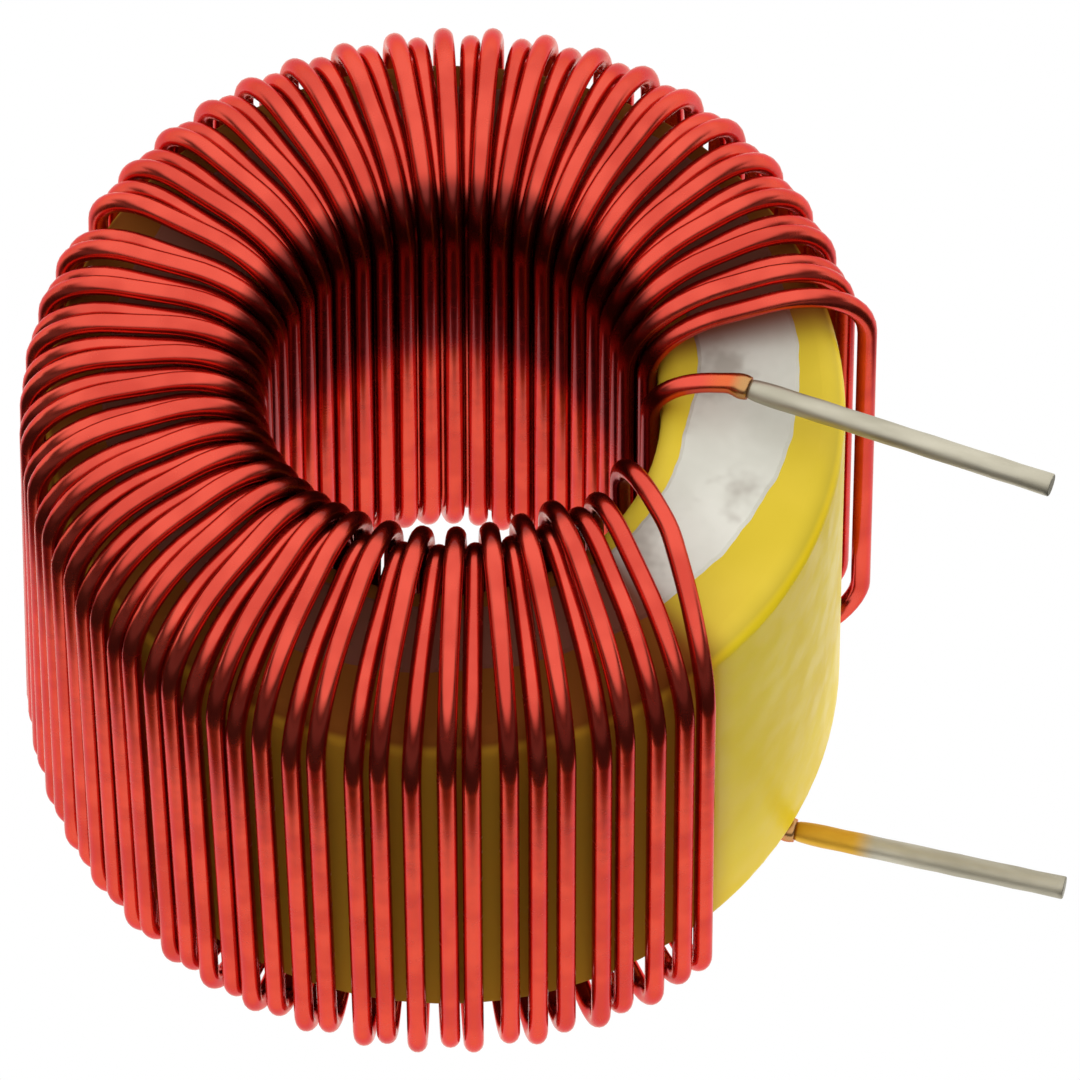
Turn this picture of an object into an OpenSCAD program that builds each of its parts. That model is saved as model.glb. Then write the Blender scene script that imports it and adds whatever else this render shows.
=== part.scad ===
// Toroidal inductor: a painted powdered-iron ring core wound with one enamelled wire,
// whose two stiff, tinned ends leave side by side along +X.
// Origin at the centre of the ring, +Z along the ring's axis, white end face up. Millimetres.

/* [Core] */
// Outside diameter of the ring core
core_od = 26.9; // [26:0.1:32]
// Bore of the bare core
core_id = 14.5; // [13:0.1:15]
// Height of the core
core_h = 18.3; // [11:0.1:24]
// Radius of the core's four edges
core_edge = 0.8; // [0.4:0.1:1.2]

/* [White end face] */
// Thickness of the white paint on the upper end face
paint_t = 0.08; // [0.04:0.01:0.2]
// Yellow rim left bare between the paint and the core's outside, where it is evenly wide
outer_rim = 1.75; // [1.4:0.05:2]
// Yellow rim left bare between the paint and the bore, where it is evenly wide
inner_rim = 1.15; // [1.1:0.05:1.6]
// How far the paint lies off the ring's axis
paint_shift = 0.35; // [0:0.05:0.4]
// Which way the paint lies off the ring's axis, measured from +X
paint_shift_at = 75; // [0:5:355]

/* [Wire] */
// Diameter of the wire over its enamel
wire_d = 0.68; // [0.5:0.02:0.9]
// Centre-line radius of a turn's bend over the core's outer edge
outer_bend_r = 3.6; // [3.2:0.1:3.8]
// Centre-line radius of its bend under the core's outer edge
foot_bend_r = 2; // [1.8:0.1:2.4]
// Centre-line radius of its bends over and under the bore's edges
bore_bend_r = 2.6; // [2.4:0.1:2.8]
// Least space between the wire and the core's outside wall
wall_gap = 0.06; // [0.05:0.01:0.2]
// Least space between wires that lie against each other
wire_gap = 0.02; // [0.01:0.01:0.06]

/* [Winding] */
// Space between neighbouring turns on the outside wall, where they lie close
turn_gap = 0.2; // [0.12:0.01:0.5]
// Where the turns start on the outside wall, measured from +X
outer_from = 31; // [25:1:40]
// Where the turns start on the wall of the bore
inner_from = 28; // [25:1:34]
// Part of the circle that the close turns cover
close_sweep = 230; // [160:1:232]
// Part of the outside wall that the spread turns cover
spread_sweep = 64.5; // [50:0.5:68]
// Part of the bore that the spread turns cover, but for the last two
spread_bore_sweep = 72; // [60:0.5:74]
// How much further apart the spread turns lie than the close ones
spread_ratio = 1.17; // [1.1:0.01:1.5]
// How far the last turn but one lies from the turn before it, in the bore
second_last_step = 7.5; // [6.5:0.1:9]
// How far the last turn lies from the last turn but one, in the bore
last_step = 13.7; // [8:0.1:16]
// How high the spans lie above the end faces, to the wire's centre
span_rise = 2.05; // [2:0.05:2.4]
// How much lower the spans lie where the turns are pulled tightest
tight_drop = 0.55; // [0:0.05:0.6]
// Where the turns are pulled tightest, measured from +X
tight_at = 165; // [100:5:250]
// How far the upper ends of the slack turns stand off the outside wall
slack = 0.3; // [0.1:0.05:0.5]
// Extra slack where the turns stand furthest off
swell = 0.35; // [0:0.05:0.5]
// How far the lower ends of the turns stand off the outside wall
foot_flare = 0.3; // [0.1:0.05:0.5]
// How far the slack turns stand off the bore's wall at its upper edge
bore_slack = 0.9; // [0:0.1:1]
// Extra distance of the first, loose turn from the outside wall
loose_turn = 0.5; // [0:0.05:0.8]
// Half the extra angle between the two turns that lie parted
parting = 1.5; // [0:0.1:1.8]
// Where the parted turns lie on the outside wall
parting_at = 167; // [80:1:230]
// Greatest lean of the outside legs, at their lower ends
lean = 2.4; // [0:0.1:2.6]
// How much higher than the first layer's spans the second layer's spans lie
second_lift = 0.25; // [0.2:0.01:0.4]

/* [Leads] */
// Thickness of the tinned leads
lead_d = 0.8; // [0.72:0.02:0.9]
// How high the leads lie above and below the end faces
lead_rise = 1.35; // [1.3:0.05:1.6]
// How far the upper lead reaches along X
upper_reach = 20.6; // [17:0.1:30]
// How far the lower lead reaches along X
lower_reach = 22.5; // [17:0.1:30]
// Where the upper lead leaves the bore, measured from +X
upper_leave = 16; // [14:0.5:18]
// Side offset of the upper lead's tip
upper_side = 1.97; // [1.5:0.01:3]
// Side offset of the lower lead's tip
lower_side = -1.35; // [-2.6:0.05:-1]
// Where the enamel ends on the upper lead, from the ring's axis
upper_bare_from = 10.2; // [9.8:0.1:12]
// Where the enamel ends on the lower lead, from the ring's axis
lower_bare_from = 13.2; // [12.8:0.1:15]

/* [Hidden] */

// Rendering steps round the core, round a bend and round the wire
core_steps = 180;
bend_steps = 72;
wire_steps = 36;

// A leg is this much thinner than its bends and runs this far into them
leg_slack = 0.005;
leg_seat = 0.06;

outer_wall_r = core_od / 2;
bore_r = core_id / 2;
wire_r = wire_d / 2;
pair_d = wire_d + wire_gap;

// Centre lines of the legs on the outside wall and, in the first layer, on the bore's wall
outer_leg_r = outer_wall_r + wall_gap + wire_r;
first_layer_r = bore_r - wire_gap - wire_r;

// Height at which the leads lie
lead_z = core_h / 2 + lead_rise;

// Close turns: as near as turn_gap allows outside and as two nested layers allow in the bore
close_pitch_min = max(
    2 * asin((wire_d + turn_gap) / 2 / (outer_leg_r + slack / 2)),
    asin(pair_d / 2 / first_layer_r));
close_turns = floor(close_sweep / close_pitch_min);
close_pitch = close_sweep / close_turns;

// Spread turns
spread_turns = floor(spread_sweep / close_pitch / spread_ratio);
spread_pitch = spread_sweep / spread_turns;
spread_bore_pitch = spread_bore_sweep / (spread_turns - 2);

// The last turn's number, counted from the upper lead
last_turn = close_turns + spread_turns;

// Hand winding: each outside leg strays by up to this share of the free space beside it
stray_share = 0.36;
stray_step = 137.5;
contact_pitch = 2 * asin(pair_d / 2 / outer_leg_r);

// Turns over which a parting dies away
parting_turns = 8;

// Where the legs lean most and where they stand off most, outside and in the bore,
// with half the arc of each
lean_at = 240;
lean_half = 62;
swell_at = 78;
swell_half = 50;
bore_slack_at = 285;
bore_slack_half = 80;

// Half the arc over which the turns are pulled tight, and how much sharper their bends are there
tight_half = 75;
tight_bend = 1;
tight_bore_bend = 0.3;

function unit(v) = v / norm(v);
function ring_point(r, a, z) = [r * cos(a), r * sin(a), z];

// 1 at the angle at, falling smoothly to 0 by half on either side
function hump(a, at, half) = abs(a - at) < half ? pow(cos(90 * (a - at) / half), 2) : 0;

// Angles of turn u, counted from the upper lead
function pitch_at(u) = u <= close_turns ? close_pitch : spread_pitch;
function even_angle(u) = outer_from + close_pitch * min(u, close_turns) + spread_pitch * max(u - close_turns, 0);
function stray(u) = stray_share * (pitch_at(u) - contact_pitch) * sin(stray_step * u);
function parted(a) = parting * sign(a - parting_at) * exp(-abs(a - parting_at) / close_pitch / parting_turns);
function outer_angle(u) = even_angle(u) + stray(u) + parted(even_angle(u));
function foot_angle(u) = outer_angle(u) + lean * hump(even_angle(u), lean_at, lean_half);
function bore_angle(u) = inner_from + close_pitch * min(u, close_turns)
    + spread_bore_pitch * min(max(u - close_turns, 0), spread_turns - 2)
    + (u > last_turn - 2 ? second_last_step : 0) + (u > last_turn - 1 ? last_step : 0);

// Every other turn lies in a second layer, nested between its neighbours in the bore as if the
// pitch were this share of the real one, which keeps it clear of them where they slant
nest_share = 0.94;
nest_angle = nest_share * close_pitch;
function is_second(u) = u > 0 && u % 2 == 1 && u < last_turn - 1;
function nested_r(r) = r * cos(nest_angle) - sqrt(pow(pair_d, 2) - pow(r * sin(nest_angle), 2));

// Distances of turn u from the ring's axis, at the lower and at the upper end of its leg in the bore
function slack_r(u) = first_layer_r - bore_slack * hump(even_angle(u), bore_slack_at, bore_slack_half);
function bore_lower_r(u) = is_second(u) ? nested_r(first_layer_r) : first_layer_r;
function bore_upper_r(u) = is_second(u) ? nested_r(min(slack_r(u - 1), slack_r(u + 1))) : slack_r(u);

// A second-layer turn lies as far above the first one on the end faces as it does on the bore's wall
function lower_step(u) = first_layer_r - bore_lower_r(u);
function upper_step(u) = slack_r(u) - bore_upper_r(u);
function lift(u) = is_second(u) ? second_lift : 0;

// How tight turn u is pulled, from 0 to 1, and how far its ends stand off the outside wall
function tight(u) = hump(even_angle(u), tight_at, tight_half);
function loose(u) = u == 0 ? loose_turn : 0;
function upper_r(u) = outer_leg_r + loose(u)
    + slack * (1 - tight(u)) + swell * hump(even_angle(u), swell_at, swell_half);
function foot_r(u) = outer_leg_r + loose(u) + foot_flare;

// Heights of the spans; the last one lies as deep as the lead that it becomes
function top_z(u) = core_h / 2 + span_rise - tight_drop * tight(u) + lift(u);
function bottom_z(u) = u == last_turn ? -lead_z : -core_h / 2 - span_rise - lift(u);

// A strongly slanted span bends once on its way over the end face
slant_min = 20;
sway_in = 3;
sway_r = outer_wall_r - sway_in;
sway_share = 0.55;
sway_bend_r = 3;
function slant(u) = bore_angle(u) - outer_angle(u);
function sway(u) = slant(u) < slant_min ? []
    : [[ring_point(sway_r, bore_angle(u) - sway_share * slant(u), top_z(u)), sway_bend_r]];

// The wire bends sharper where it becomes a lead; each lead bends once more towards its tip,
// this far before its enamel ends
lead_bore_bend_r = 2;
lead_bend_r = 1.5;
bare_back = 0.6;
upper_sway = ring_point(upper_bare_from - bare_back, upper_leave, lead_z);
upper_tip = [upper_reach, upper_side, lead_z];
lower_sway = ring_point(lower_bare_from - bare_back, bore_angle(last_turn), -lead_z);
lower_tip = [lower_reach, lower_side, -lead_z];

// Corners of one turn, each with its bend radius: up the outside wall, over, and down the bore
function turn_corners(u) = concat(
    [[ring_point(foot_r(u), foot_angle(u), bottom_z(u - 1)), foot_bend_r]],
    [[ring_point(upper_r(u), outer_angle(u), top_z(u)), outer_bend_r - tight_bend * tight(u)]],
    sway(u),
    [[ring_point(bore_upper_r(u), bore_angle(u), top_z(u) + upper_step(u)),
        bore_bend_r - tight_bore_bend * tight(u) + upper_step(u)]],
    [[ring_point(bore_lower_r(u), bore_angle(u), bottom_z(u) - lower_step(u)),
        (u == last_turn ? lead_bore_bend_r : bore_bend_r) + lower_step(u)]]);

// A point on the straight part of a lead, at distance r from the ring's axis
function on_lead(from, to, r) =
    let (d = unit(to - from), flat = [from.x, from.y, 0], along = flat * d)
    from + d * (sqrt(along * along + r * r - flat * flat) - along);

upper_bare = on_lead(upper_sway, upper_tip, upper_bare_from);
lower_bare = on_lead(lower_sway, lower_tip, lower_bare_from);

// The whole enamelled wire, from one bared end to the other
wire_corners = concat(
    [[upper_bare, 0]],
    [[upper_sway, lead_bend_r]],
    [[ring_point(first_layer_r, upper_leave, lead_z), lead_bore_bend_r]],
    [[ring_point(first_layer_r, upper_leave, bottom_z(-1)), bore_bend_r]],
    [for (u = [0 : last_turn]) each turn_corners(u)],
    [[lower_sway, lead_bend_r]],
    [[lower_bare, 0]]);

// Corners of the wire that are joined at a time: as many as a turn has
corner_batch = len(turn_corners(0));

// A rod from a to b
module rod(a, b, r) {
    d = b - a;
    translate(a)
        rotate([0, acos(d.z / norm(d)), atan2(d.y, d.x)])
            cylinder(h = norm(d), r = r, $fn = wire_steps);
}

// The bend of radius bend at corner p, between the directions d and e
module elbow(p, d, e, bend, r) {
    turn = acos(d * e);
    out = unit(d * (d * e) - e);
    side = cross(out, d);
    c = p - d * bend * tan(turn / 2) - out * bend;
    multmatrix([
        [out.x, d.x, side.x, c.x],
        [out.y, d.y, side.y, c.y],
        [out.z, d.z, side.z, c.z],
        [0, 0, 0, 1]])
        rotate_extrude(angle = turn, $fn = bend_steps)
            translate([bend, 0])
                circle(r = r, $fn = wire_steps);
}

// A wire bent through corners, each given as [point, bend radius]
module bent_wire(corners, r) {
    last = len(corners) - 1;
    p = [for (c = corners) c[0]];
    d = [for (i = [0 : last - 1]) unit(p[i + 1] - p[i])];
    cut = [for (i = [0 : last]) i == 0 || i == last ? 0 : corners[i][1] * tan(acos(d[i - 1] * d[i]) / 2) - leg_seat];
    for (first = [0 : corner_batch : last - 1])
        for (i = [first : min(first + corner_batch, last) - 1]) {
            rod(p[i] + d[i] * cut[i], p[i + 1] - d[i] * cut[i + 1], r - leg_slack);
            if (i > 0)
                elbow(p[i], d[i - 1], d[i], corners[i][1], r);
        }
}

// Section of the ring core, with round edges
module core_section() {
    w = outer_wall_r - bore_r;
    translate([bore_r + core_edge, -core_h / 2])
        square([w - 2 * core_edge, core_h]);
    translate([bore_r, -core_h / 2 + core_edge])
        square([w, core_h - 2 * core_edge]);
    for (x = [bore_r + core_edge, outer_wall_r - core_edge], z = [-1, 1])
        translate([x, z * (core_h / 2 - core_edge)])
            circle(r = core_edge, $fn = wire_steps);
}

module core() {
    color("#d9b436")
        rotate_extrude($fn = core_steps)
            core_section();
}

module white_end_face() {
    color("#cfcfc6")
        translate(ring_point(paint_shift, paint_shift_at, core_h / 2))
            difference() {
                cylinder(h = paint_t, r = outer_wall_r - outer_rim, $fn = core_steps);
                translate([0, 0, -paint_t])
                    cylinder(h = 3 * paint_t, r = bore_r + inner_rim, $fn = core_steps);
            }
}

// Burnt enamel where the wire is bared: a ball of this radius round a point of the lead, cut off
// square where the tin starts, this far from the ball's centre
bead_r = 0.46;
bead_back = 0.25;

module bead(bare, tip) {
    d = unit(tip - bare);
    translate(bare)
        rotate([0, acos(d.z), atan2(d.y, d.x)])
            rotate_extrude($fn = wire_steps)
                translate([0, -bead_back])
                    difference() {
                        circle(r = bead_r, $fn = wire_steps);
                        translate([-2 * bead_r, -bead_r])
                            square([2 * bead_r, 2 * bead_r]);
                        translate([0, bead_back])
                            square(bead_r);
                    }
}

// The enamelled length of the wire
module winding() {
    color("#c8382e") {
        bent_wire(wire_corners, wire_r);
        bead(upper_bare, upper_tip);
        bead(lower_bare, lower_tip);
    }
}

// The wire's bared and tinned ends, thickened by the tin and cut square
module upper_lead() {
    color("#b4ab98")
        rod(upper_bare, upper_tip, lead_d / 2);
}

module lower_lead() {
    color("#b4ab98")
        rod(lower_bare, lower_tip, lead_d / 2);
}

core();
white_end_face();
winding();
upper_lead();
lower_lead();
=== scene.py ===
"""Looks of a toroidal inductor: painted ring core, red enamelled wire, tinned leads.

The scene is in metres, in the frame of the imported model. Sizes are written in millimetres and
degrees, like those in the part's source, and are multiplied by MM where they become metres.
"""
import math

import bmesh
import bpy
from mathutils import Matrix, Vector


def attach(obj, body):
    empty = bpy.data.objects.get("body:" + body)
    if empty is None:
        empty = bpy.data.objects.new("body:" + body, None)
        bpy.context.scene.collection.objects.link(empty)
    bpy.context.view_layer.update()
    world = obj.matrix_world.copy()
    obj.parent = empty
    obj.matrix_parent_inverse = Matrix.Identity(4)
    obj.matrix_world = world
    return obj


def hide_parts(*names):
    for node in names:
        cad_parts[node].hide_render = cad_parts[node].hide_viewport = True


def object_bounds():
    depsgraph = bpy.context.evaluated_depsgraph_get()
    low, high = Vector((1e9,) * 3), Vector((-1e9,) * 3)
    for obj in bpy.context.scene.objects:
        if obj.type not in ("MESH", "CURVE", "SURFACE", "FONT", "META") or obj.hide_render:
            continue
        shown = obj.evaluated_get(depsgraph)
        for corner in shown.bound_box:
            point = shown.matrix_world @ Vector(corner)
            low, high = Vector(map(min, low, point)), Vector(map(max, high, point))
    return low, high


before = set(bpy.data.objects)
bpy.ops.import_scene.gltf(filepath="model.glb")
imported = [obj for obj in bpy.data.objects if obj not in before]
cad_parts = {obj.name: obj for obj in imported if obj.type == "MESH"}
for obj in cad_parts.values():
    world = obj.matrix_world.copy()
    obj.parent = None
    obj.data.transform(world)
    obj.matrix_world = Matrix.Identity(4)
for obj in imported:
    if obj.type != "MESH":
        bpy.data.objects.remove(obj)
cad_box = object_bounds()

MM = 0.001

# Ring core
CORE_OD = 26.9
CORE_ID = 14.5
CORE_H = 18.3

# White paint on the upper end face. Its outer edge is slightly oval and lies off the ring's axis.
# Its inner edge leaves the bore's rim bare, more so at one place.
PAINT_T = 0.08
PAINT_R = 11.55
PAINT_SHIFT = 0.83
PAINT_SHIFT_AT = 97.0
PAINT_OVAL = 0.27
PAINT_OVAL_AT = 46.0
PAINT_BORE_R = 8.12
PAINT_BORE_BARE = 0.6
PAINT_BORE_BARE_AT = 35.0
PAINT_BORE_BARE_HALF = 30.0
PAINT_FEATHER = 0.12
PAINT_STEPS = 720

# Both edges of the paint wander in waves: depth, number of waves round the ring, start angle.
# The inner edge has a share of the outer one's waves, turned round the ring.
PAINT_WAVES = ((0.035, 7, 40), (0.03, 17, 0), (0.02, 41, 15), (0.012, 83, 0))
PAINT_BORE_WAVES = 0.6
PAINT_BORE_WAVES_TURN = 70

# Wire: diameter over the enamel, and its gaps to the outside wall and to a wire or bore wall
WIRE_D = 0.68
WALL_GAP = 0.06
WIRE_GAP = 0.02

# A turn: bend radii at its corners, the rise of its spans over the end faces, how far its outer leg
# stands off the wall at the top and at the foot, and the extra of the first turn, which lies loose
OUTER_BEND_R = 3.6
FOOT_BEND_R = 2.0
BORE_BEND_R = 2.6
SPAN_RISE = 2.05
SLACK = 0.3
FOOT_FLARE = 0.3
LOOSE_TURN = 0.5

# The turns are pulled tight round one place: their upper spans lie lower, in sharper bends
TIGHT_AT = 165.0
TIGHT_HALF = 75.0
TIGHT_DROP = 0.55
TIGHT_BEND = 1.0
TIGHT_BORE_BEND = 0.3

# They stand off the outside wall round a second place, and off the bore's upper end round a third
SWELL = 0.35
SWELL_AT = 78.0
SWELL_HALF = 50.0
BORE_SLACK = 0.9
BORE_SLACK_AT = 285.0
BORE_SLACK_HALF = 80.0

# Places of the turns: where they begin outside and in the bore, the angles that the close and the
# spread ones take up, and the extra steps in the bore before the last two turns
TURN_GAP = 0.2
OUTER_FROM = 31.0
INNER_FROM = 28.0
CLOSE_SWEEP = 230.0
SPREAD_SWEEP = 64.5
SPREAD_BORE_SWEEP = 72.0
SPREAD_RATIO = 1.17
SECOND_LAST_STEP = 7.5
LAST_STEP = 13.7

# Two turns lie parted, and the turns on both sides of them give way less and less
PARTING = 1.5
PARTING_AT = 167.0
PARTING_TURNS = 8

# The outer legs lean round one place, and each strays a little within its free space
LEAN = 2.4
LEAN_AT = 240.0
LEAN_HALF = 62.0
STRAY_SHARE = 0.36
STRAY_STEP = 137.5

# Second layer in the bore: it nests between its neighbours, and its spans lie higher
SECOND_LIFT = 0.25
NEST_SHARE = 0.94

# A turn that slants this much over the end face bends on its way: how far in from the wall, at which
# share of the slant, and with which radius
SLANT_MIN = 20.0
SWAY_IN = 3.75
SWAY_SHARE = 0.52
SWAY_BEND_R = 5.0

# Leads: thickness over the tin, height beyond the end faces, bends, and where they leave the bore,
# reach to and are bare from. They sway a little before they are bare.
LEAD_D = 0.8
LEAD_RISE = 1.35
LEAD_BORE_BEND_R = 2.0
LEAD_BEND_R = 1.5
UPPER_REACH = 20.6
LOWER_REACH = 22.5
UPPER_LEAVE = 16.0
UPPER_SIDE = 1.97
LOWER_SIDE = -1.35
UPPER_BARE_FROM = 10.2
LOWER_BARE_FROM = 13.2
BARE_BACK = 0.6

# Burnt enamel where the wire is bared: a soft swelling
BEAD_RISE = 0.1
BEAD_BACK = 0.25
BEAD_HALF = 0.35

# Tin: over TIN_ROOT it swells from the wire to its full thickness, and from there it is a little
# uneven, but for TIN_EVEN at the tip. The swelling is given as lengths along the lead, each with what
# the radius has more than the bare wire's or than the full one.
TIN_ROOT = 1.0
TIN_ON_WIRE = ((0.0, -0.03), (0.12, 0.01))
TIN_SWELLING = ((0.3, -0.03), (0.6, -0.01), (TIN_ROOT, 0.0))
TIN_STEPS = 12
TIN_WAVE = 0.008
TIN_EVEN = 0.4
TIN_TIP = 0.2
TIN_CHAMFER = 0.03

# Steps along the wire: degrees in a bend, least steps in a bend, lengths along a leg and at the ends
BEND_STEP = 9.0
LEAST_STEPS = 5
LEG_STEP = 4.0
END_STEP = 0.08

# Sides of the round bars, and the distance within which their points are one, in metres
WIRE_SIDES = 16
LEAD_SIDES = 20
WELD = 1e-7

# Camera
VIEW_AZIMUTH = 17.0
VIEW_ELEVATION = 60.0
VIEW_DISTANCE = 700 * MM
LENS = 687.0
SENSOR = 36
AIM_RIGHT = 3.177 * MM
AIM_UP = -0.16 * MM

# Light: strength of the floor and of the light box, of their dark front side, and of the light that
# the dark side still has near the horizon
FLOOR_LIGHT = 1.25
FLOOR_DARK = 0.03
BOX_LIGHT = 1.3
BOX_DARK = 0.07
HORIZON_LIGHT = 0.16

# Floor, and the edges of its dark places, which fade from one length to the other: distances from
# the ring's axis, and ways to the front
FLOOR_HALF = 600 * MM
FLOOR_Z = cad_box[0].z
FLOOR_FAR = (22 * MM, 27 * MM)
FLOOR_AHEAD = (-16 * MM, 2 * MM)
# the dark place under the bore's front is the ring's shadow, painted into the floor's light
FLOOR_UNDER_BORE = (9 * MM, 12 * MM)
FLOOR_BORE_FRONT = (1.0 * MM, 2.6 * MM)
FLOOR_HORIZON = (45 * MM, 100 * MM)

# Light box: between which angles above the horizon its front goes from dark to light, how far round
# it is dark, as cosines from the front, and up to which angle the light near the horizon goes
BOX_RISE = (12.0, 34.0)
BOX_AHEAD = (-0.6, -0.1)
BOX_HORIZON = 10.0

# Places of the finishes: the bore and its upper half, where the enamel has painted shade, the ring's
# outside wall, whose paint is painted lighter as painted light, and half the angle round +X in which
# no turn covers the ring, with the fade at its ends
IN_BORE = (7.0 * MM, 7.6 * MM)
PAINTED_SHADE_ABOVE = (0.8 * MM, 3.6 * MM)
OUTSIDE_WALL = (13.2 * MM, 13.4 * MM)
BARE_HALF = 30.0
BARE_FADE = 4.0

# Colours
ENAMEL_DEEP = (0.56, 0.050, 0.030)
ENAMEL_PALE = (0.68, 0.075, 0.045)
# painted shade of the enamel in the upper half of the bore
ENAMEL_PAINTED_SHADE = (0.20, 0.016, 0.010)
ENAMEL_SCORCHED = (0.66, 0.12, 0.035)
ENAMEL_BURNT = (0.48, 0.25, 0.09)
ENAMEL_EDGE = (0.8, 0.25, 0.15, 1)
YELLOW_FACE_DEEP = (0.66, 0.49, 0.035)
YELLOW_FACE_PALE = (0.76, 0.56, 0.055)
# painted light: the outside wall's yellow is lighter than the end face's, standing in for the light
# on that side
YELLOW_WALL_PAINTED_LIGHT_DEEP = (0.96, 0.68, 0.012)
YELLOW_WALL_PAINTED_LIGHT_PALE = (1.0, 0.74, 0.025)
# painted shade where the winding covers the yellow paint
YELLOW_FACE_PAINTED_SHADE = (0.26, 0.08, 0.012)
YELLOW_WALL_PAINTED_SHADE = (0.60, 0.32, 0.025)
WHITE_DEEP = (0.60, 0.59, 0.51)
WHITE_PALE = (0.71, 0.70, 0.62)
WHITE_GREY_PATCH = (0.44, 0.41, 0.35)
# painted shade where the winding covers the white paint
WHITE_PAINTED_SHADE = (0.22, 0.07, 0.04)
TIN_DEEP = (0.40, 0.37, 0.285)
TIN_PALE = (0.55, 0.515, 0.41)
FLUX = (0.66, 0.38, 0.04)
PLAIN_WHITE = (1, 1, 1, 1)

# Texture that is drawn out along the leads, and the middle part of the noise's values that a tone
# and a gloss take for the whole
DRAWN_TONE = (0.25, 1, 1)
DRAWN = (0.3, 1, 1)
TONE_MIDDLE = (0.35, 0.65)
GLOSS_MIDDLE = (0.3, 0.7)
GREY_PATCHES = (0.55, 0.72)

outer_wall_r = CORE_OD / 2
bore_r = CORE_ID / 2
wire_r = WIRE_D / 2
pair_d = WIRE_D + WIRE_GAP
outer_leg_r = outer_wall_r + WALL_GAP + wire_r
first_layer_r = bore_r - WIRE_GAP - wire_r
lead_z = CORE_H / 2 + LEAD_RISE


def sin(a):
    return math.sin(math.radians(a))


def cos(a):
    return math.cos(math.radians(a))


def asin(x):
    return math.degrees(math.asin(x))


def hump(a, at, half):
    """1 at the angle at, falling smoothly to 0 by half on either side."""
    return cos(90 * (a - at) / half) ** 2 if abs(a - at) < half else 0.0


def ring_point(r, a, z):
    return Vector((r * cos(a), r * sin(a), z))


# Turns: close ones as near as the outside wall and the bore allow, then spread ones

pitch_by_wall = 2 * asin((WIRE_D + TURN_GAP) / 2 / (outer_leg_r + SLACK / 2))
pitch_by_bore = asin(pair_d / 2 / first_layer_r)
close_turns = math.floor(CLOSE_SWEEP / max(pitch_by_wall, pitch_by_bore))
close_pitch = CLOSE_SWEEP / close_turns
spread_turns = math.floor(SPREAD_SWEEP / close_pitch / SPREAD_RATIO)
spread_pitch = SPREAD_SWEEP / spread_turns
spread_bore_pitch = SPREAD_BORE_SWEEP / (spread_turns - 2)
last_turn = close_turns + spread_turns
contact_pitch = 2 * asin(pair_d / 2 / outer_leg_r)
nest_angle = NEST_SHARE * close_pitch


def even_angle(u):
    spread = max(u - close_turns, 0)
    return OUTER_FROM + close_pitch * min(u, close_turns) + spread_pitch * spread


def stray(u):
    pitch = close_pitch if u <= close_turns else spread_pitch
    return STRAY_SHARE * (pitch - contact_pitch) * sin(STRAY_STEP * u)


def parted(a):
    fading = math.exp(-abs(a - PARTING_AT) / close_pitch / PARTING_TURNS)
    return math.copysign(PARTING, a - PARTING_AT) * fading


def outer_angle(u):
    return even_angle(u) + stray(u) + parted(even_angle(u))


def foot_angle(u):
    return outer_angle(u) + LEAN * hump(even_angle(u), LEAN_AT, LEAN_HALF)


def bore_angle(u):
    spread = min(max(u - close_turns, 0), spread_turns - 2)
    angle = INNER_FROM + close_pitch * min(u, close_turns) + spread_bore_pitch * spread
    if u > last_turn - 2:
        angle += SECOND_LAST_STEP
    if u > last_turn - 1:
        angle += LAST_STEP
    return angle


def is_second(u):
    """Whether turn u lies in the second layer in the bore."""
    return 0 < u < last_turn - 1 and u % 2 == 1


def nested_r(r):
    """Where a second-layer leg lies when its neighbours lie at r from the axis."""
    return r * cos(nest_angle) - math.sqrt(pair_d**2 - (r * sin(nest_angle)) ** 2)


def slack_r(u):
    return first_layer_r - BORE_SLACK * hump(even_angle(u), BORE_SLACK_AT, BORE_SLACK_HALF)


def bore_lower_r(u):
    return nested_r(first_layer_r) if is_second(u) else first_layer_r


def bore_upper_r(u):
    return nested_r(min(slack_r(u - 1), slack_r(u + 1))) if is_second(u) else slack_r(u)


def lift(u):
    return SECOND_LIFT if is_second(u) else 0.0


def tight(u):
    """1 where the turns lie tightest on the core, 0 where they lie slack."""
    return hump(even_angle(u), TIGHT_AT, TIGHT_HALF)


def slack(u):
    """How far a leg stands off the core's outside wall at its upper end."""
    return SLACK * (1 - tight(u)) + SWELL * hump(even_angle(u), SWELL_AT, SWELL_HALF)


def bottom_z(u):
    return -lead_z if u == last_turn else -CORE_H / 2 - SPAN_RISE - lift(u)


def turn_corners(u):
    """Corners of turn u, each with its bend radius: up the outside wall, over, and down the bore."""
    loose = LOOSE_TURN if u == 0 else 0
    top = CORE_H / 2 + SPAN_RISE - TIGHT_DROP * tight(u) + lift(u)
    foot = ring_point(outer_leg_r + FOOT_FLARE + loose, foot_angle(u), bottom_z(u - 1))
    shoulder = ring_point(outer_leg_r + slack(u) + loose, outer_angle(u), top)
    corners = [(foot, FOOT_BEND_R), (shoulder, OUTER_BEND_R - TIGHT_BEND * tight(u))]

    slant = bore_angle(u) - outer_angle(u)
    if slant >= SLANT_MIN:
        sway_angle = bore_angle(u) - SWAY_SHARE * slant
        corners.append((ring_point(outer_wall_r - SWAY_IN, sway_angle, top), SWAY_BEND_R))

    upper_step = slack_r(u) - bore_upper_r(u)
    lower_step = first_layer_r - bore_lower_r(u)
    upper_bend = BORE_BEND_R - TIGHT_BORE_BEND * tight(u)
    lower_bend = LEAD_BORE_BEND_R if u == last_turn else BORE_BEND_R
    rim = ring_point(bore_upper_r(u), bore_angle(u), top + upper_step)
    low = ring_point(bore_lower_r(u), bore_angle(u), bottom_z(u) - lower_step)
    return corners + [(rim, upper_bend + upper_step), (low, lower_bend + lower_step)]


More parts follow.
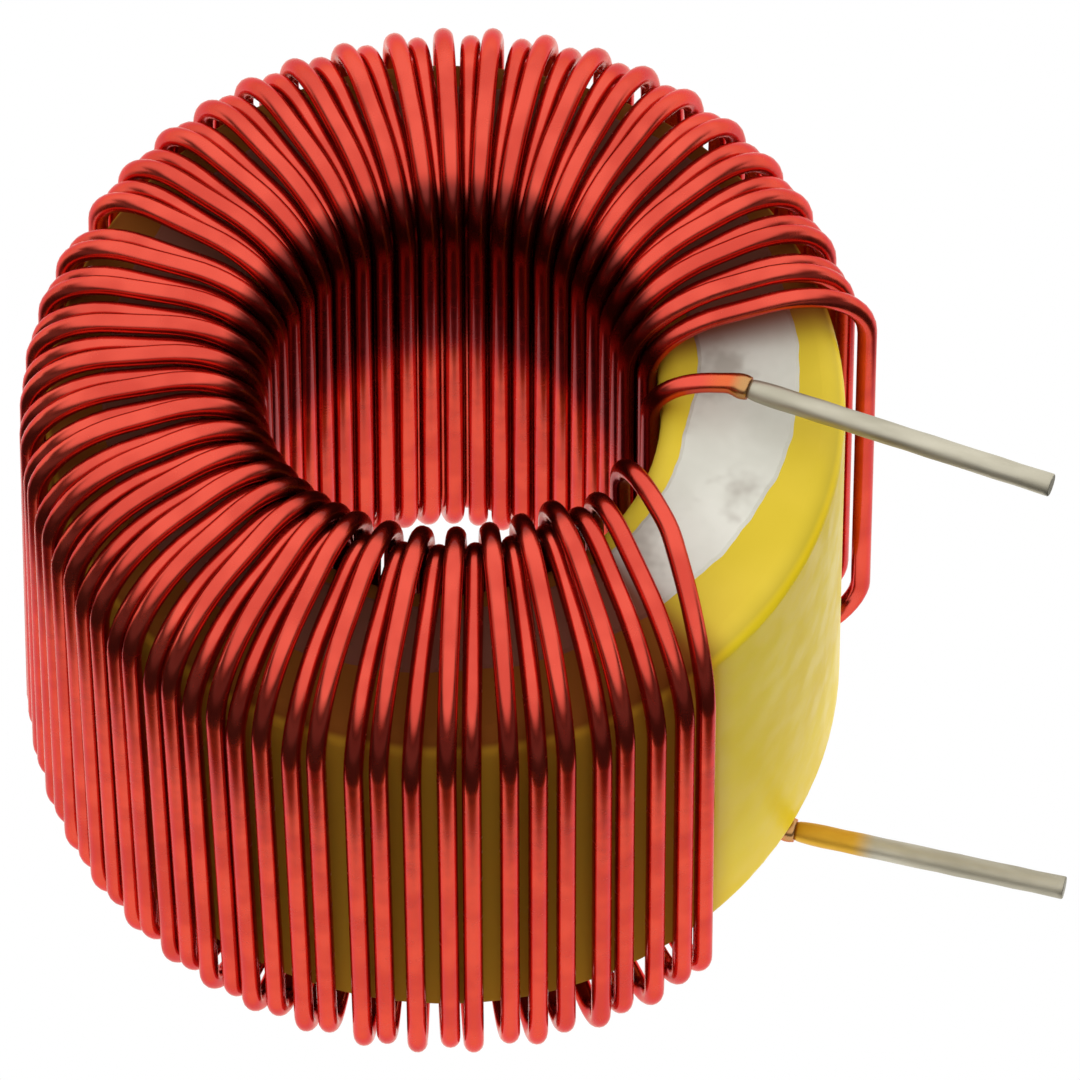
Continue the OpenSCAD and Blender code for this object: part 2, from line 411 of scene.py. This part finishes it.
def on_lead(start, end, r):
    """The point of the straight line from start to end that lies r from the ring's axis."""
    d = (end - start).normalized()
    along = start.x * d.x + start.y * d.y
    return start + d * (math.sqrt(along**2 + r**2 - start.x**2 - start.y**2) - along)


upper_sway = ring_point(UPPER_BARE_FROM - BARE_BACK, UPPER_LEAVE, lead_z)
upper_tip = Vector((UPPER_REACH, UPPER_SIDE, lead_z))
lower_sway = ring_point(LOWER_BARE_FROM - BARE_BACK, bore_angle(last_turn), -lead_z)
lower_tip = Vector((LOWER_REACH, LOWER_SIDE, -lead_z))
upper_bare = on_lead(upper_sway, upper_tip, UPPER_BARE_FROM)
lower_bare = on_lead(lower_sway, lower_tip, LOWER_BARE_FROM)

# The whole wire, from the upper bared end through all turns to the lower bared end
wire_corners = [
    (upper_bare, 0),
    (upper_sway, LEAD_BEND_R),
    (ring_point(first_layer_r, UPPER_LEAVE, lead_z), LEAD_BORE_BEND_R),
    (ring_point(first_layer_r, UPPER_LEAVE, bottom_z(-1)), BORE_BEND_R),
]
for turn in range(last_turn + 1):
    wire_corners += turn_corners(turn)
wire_corners += [(lower_sway, LEAD_BEND_R), (lower_bare, 0)]


def bent_path(corners):
    """Points along a wire bent through corners, in mm."""
    last = len(corners) - 1
    p = [c[0] for c in corners]
    d = [(p[i + 1] - p[i]).normalized() for i in range(last)]
    turned = [0] + [d[i - 1].angle(d[i]) for i in range(1, last)] + [0]
    cut = [corners[i][1] * math.tan(turned[i] / 2) for i in range(last + 1)]
    points = []
    for i in range(last):
        a = p[i] + d[i] * cut[i]
        b = p[i + 1] - d[i] * cut[i + 1]
        longest = END_STEP if i in (0, last - 1) else LEG_STEP
        pieces = max(1, round((b - a).length / longest))
        points += [a.lerp(b, k / pieces) for k in range(pieces + 1)]
        if i + 1 < last:
            out = (d[i] * d[i].dot(d[i + 1]) - d[i + 1]).normalized()
            bend = corners[i + 1][1]
            centre = b - out * bend
            steps = max(LEAST_STEPS, math.ceil(math.degrees(turned[i + 1]) / BEND_STEP))
            for k in range(1, steps):
                t = turned[i + 1] * k / steps
                points.append(centre + bend * (out * math.cos(t) + d[i] * math.sin(t)))
    return points


def round_bar(name, points, radii, sides):
    """A closed round bar along points in mm, with a radius in mm at each point."""
    curve = bpy.data.curves.new(name + "_path", "CURVE")
    curve.dimensions = "3D"
    curve.bevel_depth = MM
    curve.bevel_resolution = sides // 2 - 2  # which gives the bevel that many sides
    curve.use_fill_caps = True
    spline = curve.splines.new("POLY")
    spline.points.add(len(points) - 1)
    for node, point, radius in zip(spline.points, points, radii):
        node.co = (*(point * MM), 1)
        node.radius = radius
    swept = bpy.data.objects.new(name + "_path", curve)
    mesh = bpy.data.meshes.new_from_object(swept)
    bpy.data.objects.remove(swept)
    bpy.data.curves.remove(curve)
    shape = bmesh.new()
    shape.from_mesh(mesh)
    bmesh.ops.remove_doubles(shape, verts=shape.verts, dist=WELD)
    bmesh.ops.recalc_face_normals(shape, faces=shape.faces)
    for face in shape.faces:
        face.smooth = len(face.verts) == 4
    shape.to_mesh(mesh)
    shape.free()
    mesh.name = name
    piece = bpy.data.objects.new(name, mesh)
    bpy.context.scene.collection.objects.link(piece)
    return piece


# Materials

class Nodes:
    """The node tree of a material or of the world, with one short call per node."""

    def __init__(self, owner):
        owner.use_nodes = True
        self.tree = owner.node_tree
        self.tree.nodes.clear()

    def add(self, kind, **settings):
        node = self.tree.nodes.new(kind)
        for key, value in settings.items():
            setattr(node, key, value)
        return node

    def link(self, a, b):
        self.tree.links.new(a, b)

    def place(self, coordinates="Object"):
        return self.add("ShaderNodeTexCoord").outputs[coordinates]

    def noise(self, scale, detail=2.0, roughness=0.5, stretch=(1, 1, 1)):
        mapping = self.add("ShaderNodeMapping")
        mapping.inputs["Scale"].default_value = stretch
        self.link(self.place(), mapping.inputs["Vector"])
        node = self.add("ShaderNodeTexNoise")
        node.inputs["Scale"].default_value = scale
        node.inputs["Detail"].default_value = detail
        node.inputs["Roughness"].default_value = roughness
        self.link(mapping.outputs[0], node.inputs["Vector"])
        return node.outputs["Fac"]

    def tone(self, scale, detail, roughness, stretch=(1, 1, 1)):
        """Noise drawn apart, so that it goes all the way from 0 to 1."""
        return self.scaled(self.noise(scale, detail, roughness, stretch), *TONE_MIDDLE)

    def gloss(self, scale, low, high, stretch=(1, 1, 1)):
        """A roughness that varies from low to high."""
        noise = self.noise(scale, detail=3, roughness=0.6, stretch=stretch)
        return self.scaled(noise, *GLOSS_MIDDLE, low, high)

    def distance_from_axis(self):
        flat = self.add("ShaderNodeVectorMath", operation="MULTIPLY")
        flat.inputs[1].default_value = (1, 1, 0)
        self.link(self.place(), flat.inputs[0])
        length = self.add("ShaderNodeVectorMath", operation="LENGTH")
        self.link(flat.outputs[0], length.inputs[0])
        return length.outputs["Value"]

    def parts(self, vector):
        """The X, Y and Z outputs of a vector."""
        node = self.add("ShaderNodeSeparateXYZ")
        self.link(vector, node.inputs[0])
        return node.outputs

    def forwards(self, vector):
        """How far a vector goes towards the front of the light box."""
        node = self.add("ShaderNodeVectorMath", operation="DOT_PRODUCT")
        node.inputs[1].default_value = (sin(VIEW_AZIMUTH), -cos(VIEW_AZIMUTH), 0)
        self.link(vector, node.inputs[0])
        return node.outputs["Value"]

    def under_winding(self):
        """1 where the winding covers the ring, 0 in the bare part round +X."""
        way = self.math("DIVIDE", self.parts(self.place())["X"], self.distance_from_axis())
        bare = cos(BARE_HALF + BARE_FADE), cos(BARE_HALF - BARE_FADE)
        return self.scaled(way, *bare, 1.0, 0.0)

    def near(self, point, reach, fade):
        """1 within reach of a point, falling to 0 over the distance fade, all in mm."""
        node = self.add("ShaderNodeVectorMath", operation="DISTANCE")
        node.inputs[1].default_value = point * MM
        self.link(self.place(), node.inputs[0])
        return self.scaled(node.outputs["Value"], reach * MM, (reach + fade) * MM, 1.0, 0.0)

    def scaled(self, value, low, high, to_low=0.0, to_high=1.0, way="SMOOTHSTEP"):
        node = self.add("ShaderNodeMapRange", interpolation_type=way)
        node.inputs["From Min"].default_value = low
        node.inputs["From Max"].default_value = high
        node.inputs["To Min"].default_value = to_low
        node.inputs["To Max"].default_value = to_high
        self.link(value, node.inputs["Value"])
        return node.outputs["Result"]

    def math(self, operation, a, b):
        node = self.add("ShaderNodeMath", operation=operation)
        self.link(a, node.inputs[0])
        self.link(b, node.inputs[1])
        return node.outputs[0]

    def mix(self, share, a, b):
        node = self.add("ShaderNodeMix", data_type="RGBA")
        for socket, value in ((node.inputs[0], share), (node.inputs[6], a), (node.inputs[7], b)):
            if isinstance(value, tuple):
                socket.default_value = (*value, 1)
            else:
                self.link(value, socket)
        return node.outputs[2]

    def glow(self, kind, strength, output):
        """A light of the given strength that the camera itself sees as plain white."""
        lit = self.add(kind)
        seen = self.add(kind)
        for light in (lit, seen):
            light.inputs["Color"].default_value = PLAIN_WHITE
        self.link(strength, lit.inputs["Strength"])
        mix = self.add("ShaderNodeMixShader")
        self.link(self.add("ShaderNodeLightPath").outputs["Is Camera Ray"], mix.inputs[0])
        self.link(lit.outputs[0], mix.inputs[1])
        self.link(seen.outputs[0], mix.inputs[2])
        self.link(mix.outputs[0], self.add(output).inputs["Surface"])


class Finish(Nodes):
    """A piece's material, with a Principled shader."""

    def __init__(self, name, **values):
        self.material = bpy.data.materials.new(name)
        super().__init__(self.material)
        self.shader = self.add("ShaderNodeBsdfPrincipled")
        output = self.add("ShaderNodeOutputMaterial")
        self.link(self.shader.outputs["BSDF"], output.inputs["Surface"])
        for key, value in values.items():
            self.shader.inputs[key.replace("_", " ")].default_value = value

    def surface(self, colour, roughness):
        self.link(colour, self.shader.inputs["Base Color"])
        self.link(roughness, self.shader.inputs["Roughness"])

    def bump(self, height, strength, distance):
        node = self.add("ShaderNodeBump")
        node.inputs["Strength"].default_value = strength
        node.inputs["Distance"].default_value = distance
        self.link(height, node.inputs["Height"])
        self.link(node.outputs["Normal"], self.shader.inputs["Normal"])


def red_enamel():
    """Transparent red enamel over copper, browned where the leads were dipped in hot tin.

    In the upper half of the bore its colour is painted darker, as painted shade where two layers of
    wire shade each other.
    """
    n = Finish("red_enamel", Metallic=0.95, IOR=1.5, Coat_Weight=0.3, Coat_Roughness=0.1,
               Coat_IOR=1.45, Specular_Tint=ENAMEL_EDGE)
    red = n.mix(n.tone(scale=420, detail=2, roughness=0.55), ENAMEL_DEEP, ENAMEL_PALE)
    # Painted shade: the enamel is darkened in the upper half of the bore
    in_bore = n.scaled(n.distance_from_axis(), *IN_BORE, 1.0, 0.0)
    high = n.scaled(n.parts(n.place())["Z"], *PAINTED_SHADE_ABOVE)
    red = n.mix(n.math("MULTIPLY", in_bore, high), red, ENAMEL_PAINTED_SHADE)
    for end in (upper_bare, lower_bare):
        red = n.mix(n.near(end, reach=0.9, fade=0.9), red, ENAMEL_SCORCHED)
        red = n.mix(n.near(end, reach=0.45, fade=0.35), red, ENAMEL_BURNT)
    n.surface(red, n.gloss(scale=1500, low=0.2, high=0.28))
    n.bump(n.noise(scale=2600, detail=2, roughness=0.5), strength=0.04, distance=0.01 * MM)
    return n.material


def yellow_paint():
    """Yellow paint, with painted shade and matt where the winding covers it, and painted lighter on
    the outside wall as painted light.
    """
    n = Finish("yellow_paint", Specular_IOR_Level=0.06)
    wall = n.scaled(n.distance_from_axis(), *OUTSIDE_WALL)
    tone = n.tone(scale=150, detail=3, roughness=0.5)
    end_face = n.mix(tone, YELLOW_FACE_DEEP, YELLOW_FACE_PALE)
    # Painted light: the outside wall is painted lighter than the end face
    outside = n.mix(tone, YELLOW_WALL_PAINTED_LIGHT_DEEP, YELLOW_WALL_PAINTED_LIGHT_PALE)
    paint = n.mix(wall, end_face, outside)
    # Painted shade where the winding covers the ring
    painted_shade = n.mix(wall, YELLOW_FACE_PAINTED_SHADE, YELLOW_WALL_PAINTED_SHADE)
    covered = n.under_winding()
    gloss = n.gloss(scale=700, low=0.3, high=0.45)
    n.surface(n.mix(covered, paint, painted_shade), n.math("MAXIMUM", gloss, covered))
    n.bump(n.noise(scale=900, detail=3, roughness=0.5), strength=0.12, distance=0.02 * MM)
    return n.material


def white_paint():
    """White paint with random grey patches, and with painted shade where the winding covers it."""
    n = Finish("white_paint", Specular_IOR_Level=0.4)
    paint = n.mix(n.tone(scale=190, detail=4, roughness=0.6), WHITE_DEEP, WHITE_PALE)
    # Random grey patches
    grey_patch = n.scaled(n.noise(scale=420, detail=3, roughness=0.55), *GREY_PATCHES)
    paint = n.mix(grey_patch, paint, WHITE_GREY_PATCH)
    covered = n.under_winding()
    gloss = n.gloss(scale=900, low=0.4, high=0.6)
    # Painted shade where the winding covers the face
    n.surface(n.mix(covered, paint, WHITE_PAINTED_SHADE), n.math("MAXIMUM", gloss, covered))
    n.bump(n.noise(scale=1300, detail=3, roughness=0.6), strength=0.3, distance=0.02 * MM)
    return n.material


def lead_tin():
    """Dull tin, with browned flux at the lower lead's root."""
    n = Finish("tin", Metallic=1.0)
    tin = n.mix(n.tone(scale=500, detail=3, roughness=0.6, stretch=DRAWN_TONE), TIN_DEEP, TIN_PALE)
    tin = n.mix(n.near(lower_bare, reach=2.0, fade=0.9), tin, FLUX)
    n.surface(tin, n.gloss(scale=1400, low=0.45, high=0.62, stretch=DRAWN))
    drawn = n.noise(scale=1500, detail=3, roughness=0.6, stretch=DRAWN)
    n.bump(drawn, strength=0.3, distance=0.02 * MM)
    return n.material


# Pieces

def enamel_r(point):
    """Radius of the enamelled wire: burnt enamel thickens it a little where it is bared."""
    from_tin = min((point - upper_bare).length, (point - lower_bare).length)
    return wire_r + BEAD_RISE * math.exp(-(((from_tin - BEAD_BACK) / BEAD_HALF) ** 2))


path = bent_path(wire_corners)
wound_wire = round_bar("wound_wire", path, [enamel_r(point) for point in path], WIRE_SIDES)
wound_wire.data.materials.append(red_enamel())
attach(wound_wire, "root")
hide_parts("winding")

tin_material = lead_tin()


def tinned_lead(name, node, start, tip):
    """The tinned end of the wire: it swells to its full thickness, and is cut square."""
    d = (tip - start).normalized()
    length = (tip - start).length
    full = LEAD_D / 2
    uneven = length - TIN_ROOT - TIN_EVEN
    bar = [(x, wire_r + more) for x, more in TIN_ON_WIRE]
    bar += [(x, full + more) for x, more in TIN_SWELLING]
    for k in range(1, TIN_STEPS):
        thinner = TIN_WAVE * (1 + sin(STRAY_STEP * k))
        bar.append((TIN_ROOT + uneven * k / TIN_STEPS, full - thinner))
    bar += [(length - TIN_TIP, full), (length - TIN_CHAMFER, full), (length, full - TIN_CHAMFER)]
    lead = round_bar(name, [start + d * x for x, r in bar], [r for x, r in bar], LEAD_SIDES)
    lead.data.materials.append(tin_material)
    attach(lead, "root")
    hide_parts(node)


tinned_lead("tinned_upper_lead", "upper_lead", upper_bare, upper_tip)
tinned_lead("tinned_lower_lead", "lower_lead", lower_bare, lower_tip)


def ragged(a):
    """How far the paint's edge wanders at the angle a."""
    return sum(depth * sin(waves * a + start) for depth, waves, start in PAINT_WAVES)


def paint_outer_r(a):
    shift = PAINT_SHIFT * cos(a - PAINT_SHIFT_AT)
    return PAINT_R + shift + PAINT_OVAL * cos(2 * (a - PAINT_OVAL_AT)) + ragged(a)


def paint_bore_r(a):
    bare = PAINT_BORE_BARE * hump(a, PAINT_BORE_BARE_AT, PAINT_BORE_BARE_HALF)
    return PAINT_BORE_R + bare + PAINT_BORE_WAVES * ragged(a + PAINT_BORE_WAVES_TURN)


def end_paint():
    """The thin coat of white paint on the upper end face, feathered towards its edges."""
    shape = bmesh.new()
    rings = []
    for edge_r, inset, height in (
        (paint_outer_r, 0, 0),
        (paint_outer_r, -PAINT_FEATHER, PAINT_T),
        (paint_bore_r, PAINT_FEATHER, PAINT_T),
        (paint_bore_r, 0, 0),
    ):
        ring = bmesh.ops.create_circle(shape, segments=PAINT_STEPS, radius=MM)["verts"]
        for vert in ring:
            a = math.degrees(math.atan2(vert.co.y, vert.co.x))
            vert.co = ring_point(edge_r(a) + inset, a, CORE_H / 2 + height) * MM
        rings.append(list({edge for vert in ring for edge in vert.link_edges}))
    for k in range(len(rings)):
        bmesh.ops.bridge_loops(shape, edges=rings[k] + rings[(k + 1) % len(rings)])
    bmesh.ops.recalc_face_normals(shape, faces=shape.faces)
    mesh = bpy.data.meshes.new("end_paint")
    shape.to_mesh(mesh)
    shape.free()
    coat = bpy.data.objects.new("end_paint", mesh)
    bpy.context.scene.collection.objects.link(coat)
    coat.data.materials.append(white_paint())
    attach(coat, "root")
    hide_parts("white_end_face")


end_paint()

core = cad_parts["core"]
core.data.materials.clear()
core.data.materials.append(yellow_paint())


# Floor, camera and light

def light_table():
    """A white floor that lights the part, but is dark in front of it, and dark under its bore's front
    as a painted shadow of the ring.
    """
    table = bpy.data.materials.new("light_table")
    n = Nodes(table)
    from_axis = n.distance_from_axis()
    forwards = n.forwards(n.place())
    far = n.scaled(from_axis, *FLOOR_FAR)
    ahead = n.scaled(forwards, *FLOOR_AHEAD)
    # Painted shadow of the ring on the floor under the bore's front
    under_bore = n.scaled(from_axis, *FLOOR_UNDER_BORE, 1.0, 0.0)
    bore_front = n.scaled(forwards, *FLOOR_BORE_FRONT)
    outside = n.math("MULTIPLY", far, ahead)
    painted_bore_shadow = n.math("MULTIPLY", under_bore, bore_front)
    lit = n.scaled(n.math("MAXIMUM", outside, painted_bore_shadow), 0, 1, FLOOR_LIGHT, FLOOR_DARK)
    horizon = n.scaled(from_axis, *FLOOR_HORIZON, 0.0, HORIZON_LIGHT)
    n.glow("ShaderNodeEmission", n.math("MAXIMUM", lit, horizon), "ShaderNodeOutputMaterial")
    return table


floor_shape = bmesh.new()
bmesh.ops.create_grid(floor_shape, x_segments=1, y_segments=1, size=FLOOR_HALF,
                      matrix=Matrix.Translation((0, 0, FLOOR_Z)))
floor_mesh = bpy.data.meshes.new("floor")
floor_shape.to_mesh(floor_mesh)
floor_shape.free()
floor = bpy.data.objects.new("floor", floor_mesh)
floor.data.materials.append(light_table())
bpy.context.scene.collection.objects.link(floor)

to_camera = Vector((sin(VIEW_AZIMUTH) * cos(VIEW_ELEVATION),
                    -cos(VIEW_AZIMUTH) * cos(VIEW_ELEVATION),
                    sin(VIEW_ELEVATION)))
right = Vector((cos(VIEW_AZIMUTH), sin(VIEW_AZIMUTH), 0))
up = to_camera.cross(right)
camera_data = bpy.data.cameras.new("camera")
camera_data.lens = LENS
camera_data.sensor_width = SENSOR
camera_data.clip_start = 0.01
camera_data.clip_end = 10
camera = bpy.data.objects.new("camera", camera_data)
camera.location = right * AIM_RIGHT + up * AIM_UP + to_camera * VIEW_DISTANCE
camera.rotation_euler = (math.radians(90 - VIEW_ELEVATION), 0, math.radians(VIEW_AZIMUTH))
bpy.context.scene.collection.objects.link(camera)
bpy.context.scene.camera = camera


def light_box():
    """White all round, but for the open front of the box, which is dark at low angles."""
    world = bpy.data.worlds.new("light_box")
    bpy.context.scene.world = world
    n = Nodes(world)
    way = n.place("Generated")
    rise = n.parts(way)["Z"]
    low = n.scaled(rise, sin(BOX_RISE[0]), sin(BOX_RISE[1]), 1.0, 0.0)
    ahead = n.scaled(n.forwards(way), *BOX_AHEAD)
    dark = n.math("MULTIPLY", low, ahead)
    lit = n.scaled(dark, 0, 1, BOX_LIGHT, BOX_DARK, "LINEAR")
    horizon = n.scaled(rise, 0, sin(BOX_HORIZON), HORIZON_LIGHT, 0.0)
    n.glow("ShaderNodeBackground", n.math("MAXIMUM", lit, horizon), "ShaderNodeOutputWorld")


light_box()
bpy.context.scene.view_settings.view_transform = "Standard"
